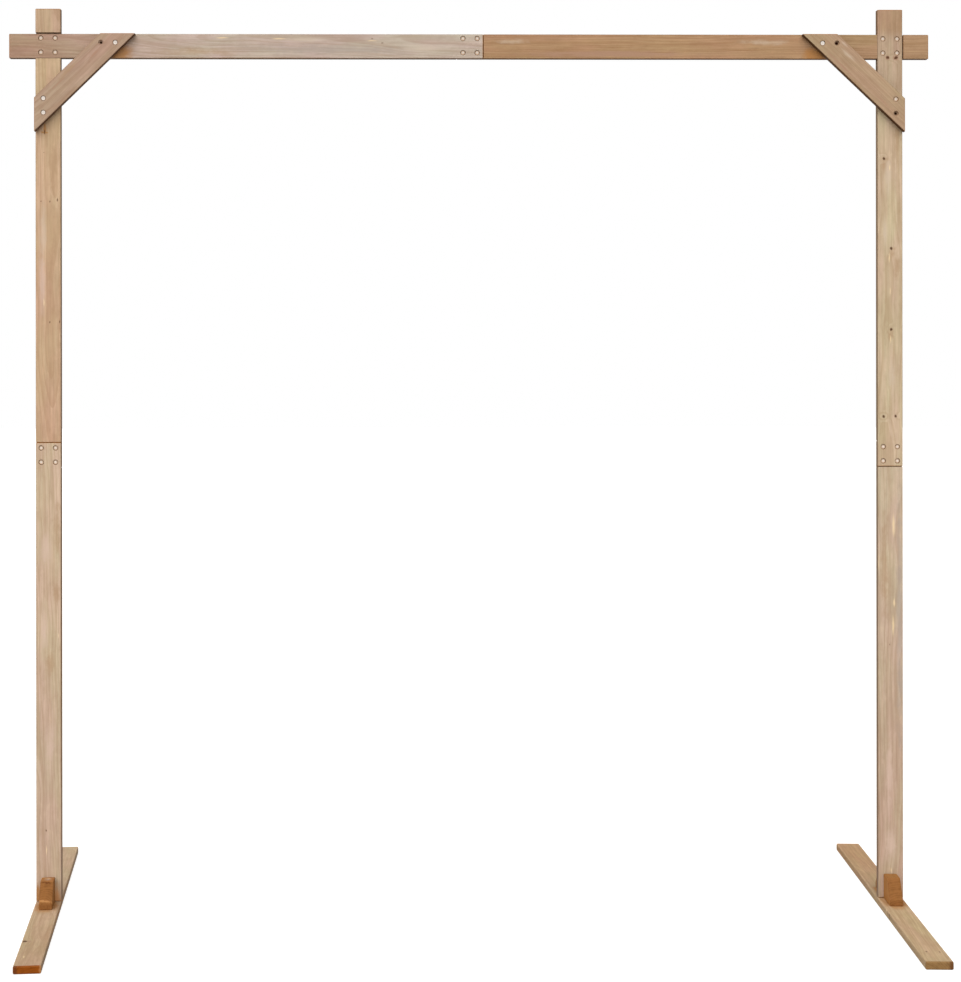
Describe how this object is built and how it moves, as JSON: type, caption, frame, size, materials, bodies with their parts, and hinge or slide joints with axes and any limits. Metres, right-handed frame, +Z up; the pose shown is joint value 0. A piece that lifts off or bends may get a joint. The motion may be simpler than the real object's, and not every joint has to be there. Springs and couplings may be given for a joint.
{
  "type": "wedding arch",
  "caption": "Square timber wedding arch: posts on long board feet with wedge blocks, a flush-lapped cross beam and mitred corner braces held by recessed screws.",
  "frame": {"origin": "on the floor, midway between the posts and midway through their thickness", "axes": "+X along the beam to the right as seen from the front, +Y from the front face to the back, +Z up"},
  "size_m": [2.2, 1.0144, 2.148],
  "materials": {
    "pine_left_foot": "planed pine board with a thin brown stain, matt, eased edges",
    "pine_right_foot": "planed pine board with a thin brown stain, matt, eased edges",
    "pine_gusset": "sawn pine blocks, stained a deeper orange brown, matt",
    "pine_left_lower_post": "planed pine board with a thin brown stain, matt, eased edges",
    "pine_left_upper_post": "planed pine board with a thin brown stain, matt, eased edges",
    "pine_right_lower_post": "planed pine board with a thin brown stain, matt, eased edges",
    "pine_right_upper_post": "planed pine board with a thin brown stain, matt, eased edges",
    "pine_left_beam": "planed pine board with a thin brown stain, matt, eased edges",
    "pine_right_beam": "planed pine board with a thin brown stain, matt, eased edges",
    "pine_left_brace": "planed pine board with a thin brown stain, matt, eased edges",
    "pine_right_brace": "planed pine board with a thin brown stain, matt, eased edges",
    "screw_steel": "bright zinc-plated steel screw heads, lightly scratched"
  },
  "bodies": {
    "root": {"left_foot": "pine_left_foot", "right_foot": "pine_right_foot", "left_front_gusset": "pine_gusset", "left_back_gusset": "pine_gusset", "right_front_gusset": "pine_gusset", "right_back_gusset": "pine_gusset", "left_lower_post": "pine_left_lower_post", "left_upper_post": "pine_left_upper_post", "right_lower_post": "pine_right_lower_post", "right_upper_post": "pine_right_upper_post", "left_beam": "pine_left_beam", "right_beam": "pine_right_beam", "left_brace": "pine_left_brace", "right_brace": "pine_right_brace", "left_corner_screw_1": "screw_steel", "left_corner_screw_2": "screw_steel", "left_corner_screw_3": "screw_steel", "left_corner_screw_4": "screw_steel", "right_corner_screw_1": "screw_steel", "right_corner_screw_2": "screw_steel", "right_corner_screw_3": "screw_steel", "right_corner_screw_4": "screw_steel", "left_splice_screw_1": "screw_steel", "left_splice_screw_2": "screw_steel", "left_splice_screw_3": "screw_steel", "left_splice_screw_4": "screw_steel", "right_splice_screw_1": "screw_steel", "right_splice_screw_2": "screw_steel", "right_splice_screw_3": "screw_steel", "right_splice_screw_4": "screw_steel", "beam_splice_screw_1": "screw_steel", "beam_splice_screw_2": "screw_steel", "beam_splice_screw_3": "screw_steel", "beam_splice_screw_4": "screw_steel", "left_brace_screw_2": "screw_steel", "left_brace_screw_3": "screw_steel", "left_brace_screw_4": "screw_steel", "right_brace_screw_2": "screw_steel", "right_brace_screw_3": "screw_steel"}
  },
  "joints": []
}
